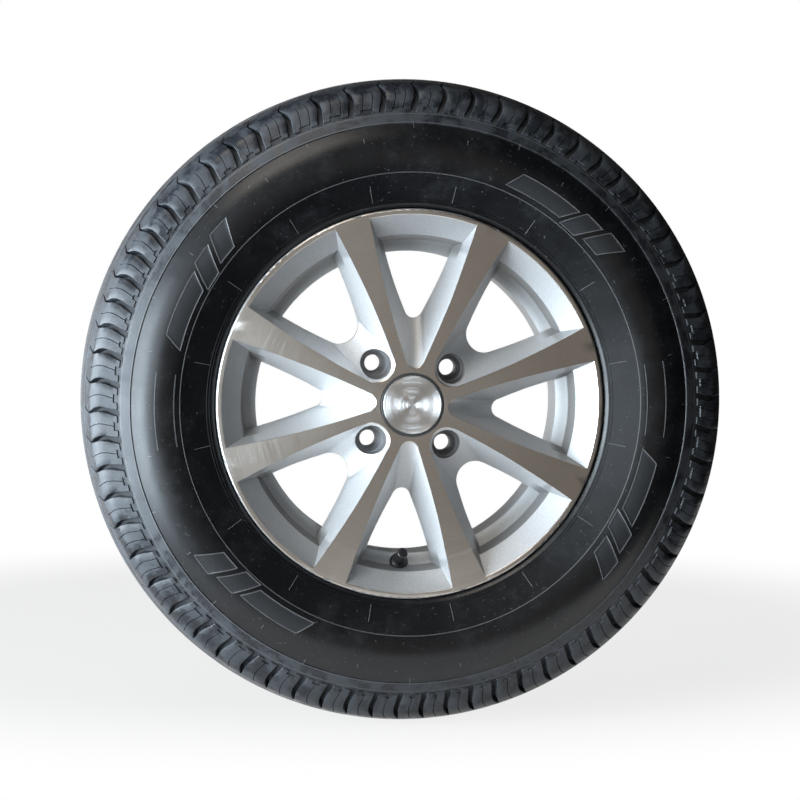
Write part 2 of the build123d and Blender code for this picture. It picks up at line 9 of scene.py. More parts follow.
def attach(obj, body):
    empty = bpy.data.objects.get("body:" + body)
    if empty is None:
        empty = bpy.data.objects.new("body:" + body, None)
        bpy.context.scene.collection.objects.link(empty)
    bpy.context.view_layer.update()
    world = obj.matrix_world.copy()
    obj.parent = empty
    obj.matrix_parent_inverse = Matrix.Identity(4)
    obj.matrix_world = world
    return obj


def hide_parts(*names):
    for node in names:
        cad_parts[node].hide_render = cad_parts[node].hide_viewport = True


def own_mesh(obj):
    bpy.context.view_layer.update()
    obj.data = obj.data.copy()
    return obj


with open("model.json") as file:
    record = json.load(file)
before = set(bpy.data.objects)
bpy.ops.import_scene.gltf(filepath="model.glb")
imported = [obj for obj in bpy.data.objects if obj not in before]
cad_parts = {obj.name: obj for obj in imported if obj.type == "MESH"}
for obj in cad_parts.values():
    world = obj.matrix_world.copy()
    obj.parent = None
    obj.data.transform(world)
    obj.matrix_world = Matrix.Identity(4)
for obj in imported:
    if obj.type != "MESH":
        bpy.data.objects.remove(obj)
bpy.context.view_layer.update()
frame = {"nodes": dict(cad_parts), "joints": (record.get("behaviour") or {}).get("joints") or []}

# Pieces are drawn in mm with the axle on Z and the street side up, then turned upright in metres.
# Radii are from the axle, heights run along it from the middle of the rim, and angles go clockwise
# from the top as seen from the street.
MM = 0.001
UPRIGHT = Matrix.Rotation(math.radians(90), 4, "X") @ Matrix.Scale(MM, 4)
WHEEL_BODY = "wheel_and_tyre"
CAP_BODY = "dust_cap"
CAP_JOINT = "dust_cap_turn"
CORE_JOINT = "valve_core_press"
SPRING_ROOM = 0.03 * MM
SHARP_EDGE = math.radians(32)
ARC_STEP = math.radians(6)
FINE_ROUND = 2.0
FINE_STEP = math.radians(18)
MERGE = 0.002
BORDER_NEAR = 0.01

# Tread
TYRE_R = 303.9
TREAD_FLAT = 12.5
TREAD_EDGE = 58.0
TREAD_DROP = 6.5
GROOVE_DEPTH = 8.0
GROOVE_ROUND = 0.8
MAIN_GROOVE = (12.5, 21.5)
FINE_GROOVE = (38.25, 41.75)
CROWN_ROWS = (42.3, 46.0, 50.0, 54.0, 56.6)
SHOULDER = (292.0, 66.0)
BLOCK_FOOT = (271.5, 74.5)
SHOULDER_ROUND = 14.0
EDGE_ROUND = 2.2
FLANK_ROWS = (297.2, 296.0, 294.0, 292.0, 290.0, 287.5, 285.0, 282.0, 279.0)

# Shoulder blocks: two short legs, an arch between them, thin sipes and slots bowed clockwise
ARCH_R = 276.2
LEG_R = 272.8
STEP_RUN = 0.35
BLOCK_RELIEF = 1.3
LEG_WIDTH = 5.6
EDGE_CHAMFER = 0.45
EDGE_SINK = 0.3
SIPE_WIDTH = 0.7
SIPE_DEPTH = 2.4
SIPE_START_R = 298.4
FLANK_LEAN = math.radians(60)
SLOT_WALL = 0.5
SIPE_SHARES = {"S": (0.5,), "M": (0.5,), "L": (0.36, 0.66)}
# Radius, sideways place, half width and depth of a slot, from the fine groove to the blocks' feet
SLOT_PATH = (
    (301.3, 5.0, 0.45, 4.5),
    (298.2, 0.0, 0.75, 5.5),
    (294.0, 2.8, 2.0, 7.0),
    (290.0, 3.7, 2.35, 6.8),
    (285.0, 3.1, 2.5, 5.4),
    (280.0, 1.6, 2.7, 3.4),
    (272.0, -0.3, 2.95, 1.3),
)
# Short, middle and long pitches, and how many of a kind follow each other clockwise
PITCH_RUNS = (
    ("M", 7), ("S", 4), ("M", 6), ("L", 6), ("M", 7), ("S", 7),
    ("M", 5), ("L", 4), ("M", 6), ("S", 5), ("M", 5), ("L", 5),
)
PITCH_LENGTHS = {"S": 0.88, "M": 1.0, "L": 1.15}
PITCH_START = 0.5

# Sidewall, bead and liner
ROUND_STEPS = 192
FOOT_BAND = 0.06
BUTTRESS_END = (261.2, 78.9)
BUTTRESS_STEP = (260.3, 78.2)
STEP_ROUND = 0.3
WIDEST = (236.0, 92.3)
WIDEST_ROUND = 44.0
LOWER = (187.0, 75.5)
LOWER_ROUND = 1.0
FLANGE = (183.2, 72.7)
FLANGE_CORNER = (183.2, 63.5)
FLANGE_CURL = 8.0
BEAD_HEEL = (164.7, 63.5)
HEEL_ROUND = 7.5
BEAD_TOE = (163.1, 45.0)
BEAD_TOE_TOP = (169.1, 45.0)
TOE_ROUND = 2.0
LINER_LOW = (188.7, 61.5)
LINER_LOW_ROUND = 11.0
LINER_WIDE = (236.0, 84.5)
LINER_ROUND = 35.8
LINER_TOP = (290.5, 51.0)
LINER_TOP_ROUND = 22.0
# Radius, width and height of the fine ridges round the sidewall
RIDGES = ((215.7, 1.1, 0.55), (190.6, 0.9, 0.4), (188.2, 0.9, 0.4))
# Shares of a ridge's width and height, from its outer foot over its flat top to its inner foot
RIDGE_SECTION = ((0.5, 0), (0.2, 1), (-0.2, 1), (-0.5, 0))

# Slanted bars on the sidewall: inner and outer radius, then angles of the inner edge and the lean
BAR_STARTS = (23.0, 101.0, 204.5, 283.5)
BARS = (
    (221.2, 237.7, 0.0, 15.4, 2.9),
    (217.4, 241.4, 16.0, 21.0, 3.8),
    (221.0, 245.4, 23.0, 28.2, 3.5),
)
BAR_STEP = 1.0
BAR_LEAST_CELLS = 4
BAR_ROWS = 8
BAR_RIM = 0.8
BAR_HEIGHT = 0.6
BAR_RECESS = 0.35
RELIEF_BODY = 1.5

# Two bare plates on the sidewall, each between two thin arcs
PLATE_STARTS = (80.5, 260.5)
PLATE_SPAN = 17.3
PLATE_ARCS = ((221.0, 221.8), (239.0, 239.8))
PLATE_CELLS = (18, 1)

# Thin flash left by the mould's vents
FLASH_COUNT = 16
FLASH_WIDTH = 0.55
FLASH_HEIGHT = 0.5
FLASH_ROWS = 5
# Inner and outer radius and the first angle of each ring of flash lines
FLASH_RINGS = ((190.0, 206.0, 11.5), (246.0, 250.0, 12.0), (256.5, 262.5, 0.4))

# Centre cap's turned disc
CAP_FACE_R = 27.4
CAP_FRONT = 82.8
CAP_FACE_THICKNESS = 0.8
CAP_RECESS = 0.035
CAP_STEPS = 144
CAP_EDGE = 1.4
CAP_EDGE_DROP = CAP_EDGE / 3

# Valve's tube and dust cap: heights run along the stem from the rim's street side
STEM_STEPS = 48
TUBE_AIR_R = 1.4
TUBE_BORE_R = 2.15
TUBE_ROOT_R = 3.1
TUBE_R = 3.85
TUBE_TAIL = -12.0
TUBE_BORE_END = 6.0
TUBE_STEP = 12.0
TUBE_LENGTH = 25.5
THREAD = (15.2, 25.2)
THREAD_PITCH = 0.794
THREAD_DEPTH = 0.42
THREAD_ROWS = 8
DUST_CAP_R = 5.2
DUST_CAP_BORE_R = 3.95
DUST_CAP_START = 15.4
DUST_CAP_ROOF = 27.25
DUST_CAP_TOP = 30.25
DUST_CAP_ROUND = 2.0
RIBS = 24
RIB_ZONE = (15.8, 28.2)
RIB_DEPTH = 0.35
RIB_COLUMNS = 8
RIB_ROWS = 10
DENT_FADE = 0.6

# Wheel's finishes, in metres because shaders read the upright model
HUB_FACE = 83.0 * MM
CROWN_POINT = (105.0 * MM, 81.3 * MM)
CROWN_SLOPE = 0.01619
RIM_SLOPE = 0.0707
TURNED_DEPTH = 0.75 * MM
BOLT_R = 50.0 * MM
BOLT_FIRST = math.radians(48.8)
BOLT_QUARTER = math.radians(90)
POCKET_R = 14.0 * MM
LEDGE_TOP = 62.0 * MM
BARREL_START = (139.0 * MM, 150.0 * MM)
RIM_START = (147.0 * MM, 152.0 * MM)

# Finishes: a noise is its scale, detail and roughness, a pair of colours runs from dark to light,
# and a bump is its strength and its distance in metres
TURNING_LINES = (3000.0, 2.0, 0.6)
TURNED_LINE_EDGE = (0.25, 0.75)
TURNED_METAL = ((0.50, 0.465, 0.425, 1), (0.86, 0.83, 0.79, 1))
PAINT_FLAKE = (1200.0, 2.0, 0.6)
PAINT = ((0.44, 0.445, 0.45, 1), (0.92, 0.925, 0.93, 1))
# Painted shade: darker paint on the rim's slope above the ledge
RIM_PAINTED_SHADE = ((0.30, 0.302, 0.305, 1), (0.66, 0.664, 0.67, 1))
# Painted shade: darker paint inside the barrel, below the ledge
BARREL_PAINTED_SHADE = ((0.20, 0.198, 0.195, 1), (0.46, 0.456, 0.45, 1))
POCKET_PAINT = (0.38, 0.38, 0.385, 1)
PAINT_ROUGH = 0.56
TURNED_POLISH = 0.28
FLAKE_ROUGH = 0.04
PAINT_METALLIC = 0.80
FLAKE_HEIGHT = 0.3
WHEEL_BUMP = (0.55, 0.00015)
DISC_METAL = (0.90, 0.89, 0.88, 1)
DISC_ROUGH = 0.28
DISC_BUMP = (1.0, 0.0002)
PLAIN_NOISE = (300.0, 3.0, 0.5)
PLAIN_UNEVEN = 0.08
NOISE_MIDDLE = 0.5
# Colour, roughness and metallic share of each plain finish
PLAIN_FINISHES = {
    "brass": ((0.72, 0.52, 0.25, 1), 0.28, 1.0),
    "spring_steel": ((0.55, 0.55, 0.56, 1), 0.3, 1.0),
    "cap_moulding": ((0.06, 0.06, 0.06, 1), 0.35, 0.3),
    "valve_rubber": ((0.012, 0.012, 0.013, 1), 0.38, 0.0),
    "seal_rubber": ((0.02, 0.02, 0.02, 1), 0.6, 0.0),
    "dust_cap_plastic": ((0.012, 0.012, 0.013, 1), 0.32, 0.0),
    # Flash lines are painted lighter as a painted highlight on their thin ridges
    "bleached_flash": ((0.11, 0.11, 0.115, 1), 0.45, 0.0),
}

# Rubber's finishes
TREAD_START = 259.5 * MM
TREAD_BLEND = 2.0 * MM
CLOUD_NOISE = (55.0, 5.0, 0.65)
GRAIN_NOISE = (1100.0, 3.0, 0.65)
DUST_NOISE = (16.0, 8.0, 0.75)
SPECK_NOISE = (420.0, 1.0, 0.5)
PATCH_EDGE = (0.42, 0.56)
DUST_EDGE = (0.48, 0.70)
SPECK_EDGE = (0.70, 0.75)
SIDE_RUBBER = ((0.0022, 0.0026, 0.0034, 1), (0.0045, 0.0052, 0.0066, 1))
TREAD_RUBBER = ((0.018, 0.020, 0.024, 1), (0.046, 0.051, 0.058, 1))
DUST = (0.020, 0.021, 0.023, 1)
DUST_COVER = 0.55
SPECK = (0.085, 0.086, 0.09, 1)
SPECK_COVER = 0.6
RUBBER_ROUGH = 0.22
CLOUD_ROUGH = 0.22
DUST_ROUGH = 0.10
PATCH_ROUGH = 0.14
TREAD_POLISH = 0.04
SIDE_GRAIN = 0.4
RUBBER_BUMP = (0.7, 0.0002)
RUBBER_SPECULAR = 0.45
SIDE_COAT = 0.2
COAT_ROUGH = 0.3
SLOT_NOISE = (60.0, 3.0, 0.6)
# Slot floors are painted lighter: painted light where light falls on them
SLOT_FLOOR_PAINTED_LIGHT = ((0.035, 0.036, 0.039, 1), (0.06, 0.062, 0.066, 1))
SLOT_ROUGH = 0.7
SLOT_SPECULAR = 0.12
# Raised rims and arcs are painted lighter as a painted highlight along their edges
EDGE_HIGHLIGHT_NOISE = (90.0, 3.0, 0.6)
EDGE_PAINTED_HIGHLIGHT = ((0.06, 0.062, 0.065, 1), (0.17, 0.173, 0.177, 1))
EDGE_ROUGH = 0.35
PANEL_NOISE = (1300.0, 2.0, 0.7)
PANEL_RUBBER = ((0.012, 0.0125, 0.0135, 1), (0.04, 0.041, 0.044, 1))
PANEL_ROUGH = 0.45
PANEL_SPECULAR = 0.3
PANEL_BUMP = (0.5, 0.0003)
RING_SCUFF_AND_HIGHLIGHT = (0.085, 0.086, 0.088, 1)
# Radius and width of the rings painted lighter: partly scuffing, partly a painted highlight along the
# fine ridge and steps
SCUFF_AND_HIGHLIGHT_RINGS = (RIDGES[0][:2], (261.7, 0.8), (269.9, 0.8))

# Camera, stage and light
CAMERA_AT = (-0.3775, -2.8323, 0.1849)
CAMERA_TARGET = (-0.000542, 0.0, -0.000699)
SENSOR = 36.0
PHOTO_FOCAL = 2996.8
PHOTO_WIDTH = 800
FLOOR_Z = -0.3042
FLOOR_R = 0.95
FLOOR_BACK = 0.6
FLOOR_SIDES = 96
FLOOR_FADE = (0.5, 0.93)
FLOOR_WHITE = 0.8
FLOOR_COLOUR = (0.4, 0.4, 0.4, 1)
WHITE = (1, 1, 1, 1)
ROOM_FRONT_COLOUR = (0.27, 0.235, 0.20, 1)
ROOM_SIDE_COLOUR = (0.025, 0.025, 0.026, 1)
ROOM_FRONT = (-0.78, -0.98)
ROOM_BACK = (0.93, 0.995)
# Direction from the wheel to the white wall behind it on the left, and how near to it the white runs
ROOM_LEFT_BACK = (-0.68, 0.73)
ROOM_LEFT_WHITE = (0.84, 0.95)
DAYLIGHT = (0.78, 0.90, 1.0)
WARM_LIGHT = (1.0, 0.93, 0.84)
# Name, place, width and height, power and colour of each lamp
LAMPS = (
    ("window_light", (-2.0, -0.4, -0.1), (2.6, 1.7), 190.0, DAYLIGHT),
    ("soft_fill", (-2.0, -2.4, 0.0), (2.0, 1.7), 40.0, DAYLIGHT),
    ("ceiling_light", (-1.0, -1.5, 2.4), (1.2, 1.2), 22.0, WARM_LIGHT),
)


class Value:
    """A shader output that adds Math nodes when it is used in an expression."""

    def __init__(self, finish, socket):
        self.finish = finish
        self.socket = socket

    def math(self, operation, *others):
        inputs = dict(enumerate((self, *others)))
        return self.finish.node("ShaderNodeMath", {"operation": operation}, inputs)

    def __add__(self, other):
        return self.math("ADD", other)

    __radd__ = __add__

    def __sub__(self, other):
        return self.math("SUBTRACT", other)

    def __rsub__(self, other):
        return (self * -1) + other

    def __mul__(self, other):
        return self.math("MULTIPLY", other)

    __rmul__ = __mul__

    def __truediv__(self, other):
        return self.math("DIVIDE", other)

    def __pow__(self, other):
        return self.math("POWER", other)

    def above(self, limit):
        return self.math("GREATER_THAN", limit)

    def below(self, limit):
        return self.math("LESS_THAN", limit)

    def lower_of(self, other):
        return self.math("MINIMUM", other)

    def higher_of(self, other):
        return self.math("MAXIMUM", other)

    def ramp(self, start, end):
        """0 at start, 1 at end, smooth between."""
        settings = {"interpolation_type": "SMOOTHSTEP"}
        inputs = {"Value": self, "From Min": start, "From Max": end}
        return self.finish.node("ShaderNodeMapRange", settings, inputs)


class Finish:
    """One material, and the nodes that it is made of."""

    def __init__(self, name, tree=None):
        if tree is None:
            self.material = bpy.data.materials.new(name)
            self.material.use_nodes = True
            tree = self.material.node_tree
        self.tree = tree
        self.tree.nodes.clear()

    def node(self, kind, settings=None, inputs=None, output=0):
        """Add a node: its settings first, then the values or links of its sockets."""
        node = self.tree.nodes.new(kind)
        for key, setting in (settings or {}).items():
            setattr(node, key, setting)
        for key, value in (inputs or {}).items():
            self.feed(node.inputs[key], value)
        return Value(self, node.outputs[output]) if len(node.outputs) else node

    def feed(self, socket, value):
        if isinstance(value, Value):
            self.tree.links.new(value.socket, socket)
        else:
            socket.default_value = value

    def principled(self, inputs):
        """The surface's shader, linked to the output."""
        shader = self.node("ShaderNodeBsdfPrincipled", inputs=inputs)
        self.node("ShaderNodeOutputMaterial", inputs={"Surface": shader})
        return self.material

    def mix(self, factor, first, second):
        """One colour over another by a factor."""
        settings = {"data_type": "RGBA"}
        return self.node("ShaderNodeMix", settings, {0: factor, 6: first, 7: second}, output=2)

    def place(self, kind="Object"):
        """Where a point lies: by default in the piece's own coordinates, in metres."""
        return self.node("ShaderNodeTexCoord", output=kind)

    def axes(self, kind="Object"):
        """Where a point lies, as its X, Y and Z."""
        place = {0: self.place(kind)}
        return [self.node("ShaderNodeSeparateXYZ", inputs=place, output=axis) for axis in "XYZ"]

    def noise(self, scale, detail, roughness):
        """Noise in the piece's own coordinates."""
        inputs = {"Vector": self.place(), "Scale": scale, "Detail": detail, "Roughness": roughness}
        return self.node("ShaderNodeTexNoise", inputs=inputs)

    def radius(self):
        """Distance from the axle."""
        x, y, z = self.axes()
        return (x * x + z * z) ** 0.5

    def turning_lines(self, radius):
        """Fine uneven rings left by a turning tool."""
        settings = {"noise_dimensions": "1D"}
        scale, detail, roughness = TURNING_LINES
        inputs = {"W": radius, "Scale": scale, "Detail": detail, "Roughness": roughness}
        return self.node("ShaderNodeTexNoise", settings, inputs)

    def any_ray(self, *kinds):
        """1 for the rays of these kinds."""
        shown = self.node("ShaderNodeLightPath", output=kinds[0])
        for other in kinds[1:]:
            shown = shown.higher_of(self.node("ShaderNodeLightPath", output=other))
        return shown

    def bump(self, height, strength, distance):
        """A normal bumped by a height."""
        inputs = {"Height": height, "Strength": strength, "Distance": distance}
        return self.node("ShaderNodeBump", inputs=inputs)


def rounded(corners):
    """Points along an outline of (radius, height, rounding) corners, each rounding in short steps."""
    points = []
    for index, (radius, height, rounding) in enumerate(corners):
        corner = Vector((radius, height))
        if not rounding:
            points.append(corner)
            continue
        back = (Vector(corners[index - 1][:2]) - corner).normalized()
        ahead = (Vector(corners[index + 1][:2]) - corner).normalized()
        half = back.angle(ahead) / 2
        centre = corner + (back + ahead).normalized() * rounding / math.sin(half)
        reach = rounding / math.tan(half)
        start = (corner + back * reach - centre).normalized()
        end = (corner + ahead * reach - centre).normalized()
        step_angle = ARC_STEP if rounding > FINE_ROUND else FINE_STEP
        steps = max(2, math.ceil((math.pi - 2 * half) / step_angle))
        points += [centre + start.slerp(end, step / steps) * rounding for step in range(steps + 1)]
    return points


def height_at(points, radius):
    """Height of an outline where it first passes a radius."""
    for outer, inner in zip(points, points[1:]):
        if outer.x >= radius >= inner.x:
            share = (outer.x - radius) / max(outer.x - inner.x, MERGE)
            return outer.y + (inner.y - outer.y) * share
    return points[-1].y


def on_wheel(radius, height, angle):
    """A point of the model from its radius, height and clockwise angle in degrees."""
    turn = math.radians(angle)
    return Vector((radius * math.sin(turn), radius * math.cos(turn), height))


def spin_outline(bm, points, steps):
    """Spin an outline of (radius, height) points once round the axle."""
    verts = [bm.verts.new(on_wheel(point.x, point.y, 0)) for point in points]
    edges = [bm.edges.new(pair) for pair in zip(verts, verts[1:])]
    full = math.radians(-360)
    bmesh.ops.spin(bm, geom=verts + edges, axis=(0, 0, 1), angle=full, steps=steps, use_merge=True)


def open_edges(bm, radius, height):
    """Edges of the open border that runs round at a radius and height."""
    found = []
    for edge in bm.edges:
        point = edge.verts[0].co
        out = abs(math.hypot(point.x, point.y) - radius)
        if edge.is_boundary and max(out, abs(point.z - height)) < BORDER_NEAR:
            found.append(edge)
    return found


def add_piece(name, bm, finishes, body=WHEEL_BODY, replaced=(), placing=UPRIGHT):
    """Turn a drawn piece into its place and add it to the scene on its body."""
    bmesh.ops.recalc_face_normals(bm, faces=bm.faces)
    bmesh.ops.transform(bm, matrix=placing, verts=bm.verts)
    keep(name, bm, finishes, body, replaced)


def keep(name, bm, finishes, body, replaced):
    """Add a finished mesh to the scene, smooth but for its sharp edges."""
    for face in bm.faces:
        face.smooth = True
    for edge in bm.edges:
        edge.smooth = edge.is_manifold and edge.calc_face_angle(0.0) < SHARP_EDGE
    mesh = bpy.data.meshes.new(name)
    bm.to_mesh(mesh)
    bm.free()
    for finish in finishes:
        mesh.materials.append(finish)
    piece = bpy.data.objects.new(name, mesh)
    bpy.context.scene.collection.objects.link(piece)
    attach(piece, body)
    if replaced:
        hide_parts(*replaced)
    return piece


def smooth_copy(node, finishes):
    """A CAD piece with its facets joined, so that its round faces look round."""
    bm = bmesh.new()
    bm.from_mesh(frame["nodes"][node].data)
    bmesh.ops.remove_doubles(bm, verts=bm.verts, dist=MERGE * MM)
    for face in bm.faces:
        face.material_index = 0
    return keep(f"{node}_smooth", bm, finishes, WHEEL_BODY, [node])


def crown_r(height):
    """Radius of the tread: flat in the middle, then an arc down to its edge."""
    reach = TREAD_EDGE - TREAD_FLAT
    crown = (reach**2 + TREAD_DROP**2) / (2 * TREAD_DROP)
    return TYRE_R - crown + math.sqrt(crown**2 - max(height - TREAD_FLAT, 0) ** 2)


def groove_floor_r(groove):
    return crown_r(sum(groove) / 2) - GROOVE_DEPTH


def crown_outline():
    """The tread from its middle to the floor of the fine groove."""
    near, far = MAIN_GROOVE
    floor = groove_floor_r(MAIN_GROOVE)
    fine = FINE_GROOVE[0]
    fine_floor = groove_floor_r(FINE_GROOVE)
    middle = (far + fine) / 2
    corners = [
        (TYRE_R, 0, 0),
        (TYRE_R, near, GROOVE_ROUND),
        (floor, near + GROOVE_ROUND, GROOVE_ROUND),
        (floor, far - GROOVE_ROUND, GROOVE_ROUND),
        (crown_r(far), far, GROOVE_ROUND),
        (crown_r(middle), middle, 0),
        (crown_r(fine), fine, GROOVE_ROUND),
        (fine_floor, fine + GROOVE_ROUND / 2, 0),
    ]
    return rounded(corners)


def shoulder_outline():
    """The blocks' outer face, from the fine groove's edge over the shoulder to their feet."""
    fine = FINE_GROOVE[1]
    corners = [(crown_r(height), height, 0) for height in (fine, *CROWN_ROWS[:-1])]
    corners.append((crown_r(TREAD_EDGE), TREAD_EDGE, EDGE_ROUND))
    corners += [(*SHOULDER, SHOULDER_ROUND), (*BLOCK_FOOT, 0)]
    return rounded(corners)


def shoulder_rows():
    """Radius and height of each row of the shoulder blocks' faces."""
    outline = shoulder_outline()
    fine = FINE_GROOVE[1]
    rows = [(crown_r(height), height) for height in (fine, *CROWN_ROWS)]
    steps = [ARCH_R + STEP_RUN, ARCH_R, (ARCH_R + LEG_R) / 2, LEG_R + STEP_RUN, LEG_R, BLOCK_FOOT[0]]
    rows += [(radius, height_at(outline, radius)) for radius in (*FLANK_ROWS, *steps)]
    return rows


def slot_at(radius):
    """Sideways place, half width and depth of a slot at a radius."""
    for outer, inner in zip(SLOT_PATH, SLOT_PATH[1:]):
        if outer[0] >= radius >= inner[0]:
            share = (outer[0] - radius) / (outer[0] - inner[0])
            return [low + (high - low) * share for low, high in zip(outer[1:], inner[1:])]
    return SLOT_PATH[0][1:] if radius > SLOT_PATH[0][0] else SLOT_PATH[-1][1:]


def sunk(radius, height, depth):
    """A point pushed into the tread: straight in at the crown, leaning outwards at the foot."""
    span = SLOT_PATH[0][0] - BLOCK_FOOT[0]
    share = min(max((SLOT_PATH[0][0] - radius) / span, 0), 1)
    lean = FLANK_LEAN * share
    return radius - depth * math.cos(lean), height - depth * math.sin(lean)


def depth_of(role, radius):
    """How far a column of the shoulder is sunk at a radius."""
    if role == "slot":
        return slot_at(radius)[2]
    end = LEG_R if role in ("edge", "leg") else ARCH_R
    if radius <= end:
        return BLOCK_RELIEF
    if role == "sipe" and radius < SIPE_START_R:
        return SIPE_DEPTH
    return EDGE_SINK if role == "edge" else 0.0


def pitches():
    """Kind, first angle and length of each pitch, in degrees clockwise."""
    kinds = [kind for kind, count in PITCH_RUNS for repeat in range(count)]
    unit = 360 / sum(PITCH_LENGTHS[kind] for kind in kinds)
    angle = PITCH_START
    found = []
    for kind in kinds:
        length = PITCH_LENGTHS[kind] * unit
        found.append((kind, angle, length))
        angle += length
    return found


def block_side(angle, side):
    """Columns on one side of a slot, from its middle outwards."""
    leg = EDGE_CHAMFER + LEG_WIDTH
    return [
        (angle, -side * SLOT_WALL, side, "slot"),
        (angle, 0.0, side, "edge"),
        (angle, side * EDGE_CHAMFER, side, "leg"),
        (angle, side * leg, side, "leg"),
        (angle, side * (leg + STEP_RUN), side, "arch"),
    ]


def shoulder_columns():
    """Angle, offset in mm, share of the slot's half width and role of each column round the shoulder."""
    columns = []
    for kind, angle, length in pitches():
        columns.append((angle, 0.0, 0, "slot"))
        columns += block_side(angle, 1)
        for share in SIPE_SHARES[kind]:
            middle = angle + share * length
            columns.append((middle, -SIPE_WIDTH / 2, 0, "arch"))
            columns.append((middle, 0.0, 0, "sipe"))
            columns.append((middle, SIPE_WIDTH / 2, 0, "arch"))
        columns += reversed(block_side(angle + length, -1))
    columns.append((PITCH_START + 360, 0.0, 0, "slot"))
    return columns


def shoulder_point(column, row):
    """Where a column crosses a row, sunk to the depth of its role."""
    angle, offset, widths, role = column
    radius, height = row
    bow, half_width, depth = slot_at(radius)
    sideways = bow + offset + widths * half_width
    turned = angle + math.degrees(sideways / radius)
    return on_wheel(*sunk(radius, height, depth_of(role, radius)), turned)


def groove_floor_point(column, row):
    """Where a column meets the floor of the fine groove."""
    point = shoulder_point((*column[:3], "leg"), row)
    point *= groove_floor_r(FINE_GROOVE) / math.hypot(point.x, point.y)
    point.z = FINE_GROOVE[1] - GROOVE_ROUND / 2
    return point


def add_shoulder(bm):
    """Slots, blocks, legs and sipes of one shoulder, from one grid bent round the tread."""
    columns = shoulder_columns()
    rows = shoulder_rows()
    across = len(columns) - 1
    up = len(rows)
    grid = bmesh.ops.create_grid(bm, x_segments=across, y_segments=up, size=1.0)
    slots = set()
    for vert in grid["verts"]:
        column = columns[round((vert.co.x + 1) / 2 * across)]
        row = round((vert.co.y + 1) / 2 * up)
        if column[3] == "slot":
            slots.add(vert)
        vert.co = shoulder_point(column, rows[row - 1]) if row else groove_floor_point(column, rows[0])
    for face in bm.faces:
        # Faces between two slot columns take the slot floors' painted light
        face.material_index = int(slots.issuperset(face.verts))
    bmesh.ops.remove_doubles(bm, verts=bm.verts, dist=MERGE)


def with_ridge(points, radius, width, height):
    """An outline with a fine ridge added where it first passes a radius."""
    for index, (outer, inner) in enumerate(zip(points, points[1:])):
        if outer.x > radius + width / 2 and inner.x <= radius + width / 2:
            ridge = []
            for share, rise in RIDGE_SECTION:
                at = radius + share * width
                ridge.append(Vector((at, height_at(points, at) + rise * height)))
            rest = points[index + 1 :]
            while rest and rest[0].x > radius - width / 2:
                rest.pop(0)
            return points[: index + 1] + ridge + rest
    return points


def foot_point():
    """Radius and height where the blocks' feet run into the sidewall."""
    return sunk(*BLOCK_FOOT, BLOCK_RELIEF)


def sidewall_outline():
    """The sidewall from below the blocks to the bead, then the liner back to the tread's middle."""
    start = Vector(foot_point()).lerp(Vector(BUTTRESS_END), FOOT_BAND)
    corners = [
        (*start, 0),
        (*BUTTRESS_END, STEP_ROUND),
        (*BUTTRESS_STEP, STEP_ROUND),
        (*WIDEST, WIDEST_ROUND),
        (*LOWER, LOWER_ROUND),
        (*FLANGE, 0),
        (*FLANGE_CORNER, FLANGE_CURL),
        (*BEAD_HEEL, HEEL_ROUND),
        (*BEAD_TOE, TOE_ROUND),
        (*BEAD_TOE_TOP, TOE_ROUND),
        (*LINER_LOW, LINER_LOW_ROUND),
        (*LINER_WIDE, LINER_ROUND),
        (*LINER_TOP, LINER_TOP_ROUND),
        (LINER_TOP[0], 0, 0),
    ]
    points = rounded(corners)
    for radius, width, height in RIDGES:
        points = with_ridge(points, radius, width, height)
    return points


def add_tyre_half(bm):
    """The street half of the tyre, open at its middle."""
    crown = crown_outline()
    side = sidewall_outline()
    add_shoulder(bm)
    spin_outline(bm, crown, ROUND_STEPS)
    spin_outline(bm, side, ROUND_STEPS)
    floor = groove_floor_r(FINE_GROOVE)
    groove = open_edges(bm, floor, FINE_GROOVE[1] - GROOVE_ROUND / 2)
    groove += open_edges(bm, crown[-1].x, crown[-1].y)
    bmesh.ops.bridge_loops(bm, edges=groove)
    feet = open_edges(bm, *foot_point())
    feet += open_edges(bm, side[0].x, side[0].y)
    bmesh.ops.bridge_loops(bm, edges=feet)


def turn_over(bm):
    """Add a copy of what is drawn so far, turned over to the back."""
    geometry = bm.verts[:] + bm.edges[:] + bm.faces[:]
    copy = bmesh.ops.duplicate(bm, geom=geometry)
    turned = [item for item in copy["geom"] if isinstance(item, bmesh.types.BMVert)]
    bmesh.ops.rotate(bm, verts=turned, matrix=Matrix.Rotation(math.pi, 3, "X"))


def tyre():
    """The whole tyre: the street half, and the same half turned over for the back."""
    bm = bmesh.new()
    add_tyre_half(bm)
    turn_over(bm)
    bmesh.ops.remove_doubles(bm, verts=bm.verts, dist=MERGE)
    add_piece("tyre_rubber", bm, [rubber(), slot_rubber()], replaced=["tyre"])


def relief(bm, outline, radii, angles, lean, height, cells):
    """A low raised patch that follows the sidewall. Returns its outer faces."""
    across, rows = cells
    grid = bmesh.ops.create_grid(bm, x_segments=across, y_segments=rows, size=1.0)
    for vert in grid["verts"]:
        out = (vert.co.y + 1) / 2
        along = (vert.co.x + 1) / 2
        radius = radii[0] + (radii[1] - radii[0]) * out
        angle = angles[0] + (angles[1] - angles[0]) * along + lean * out
        vert.co = on_wheel(radius, height_at(outline, radius) + height, angle)
    faces = list({face for vert in grid["verts"] for face in vert.link_faces})
    bmesh.ops.recalc_face_normals(bm, faces=faces)
    if faces[0].normal.z < 0:
        bmesh.ops.reverse_faces(bm, faces=faces)
    return faces


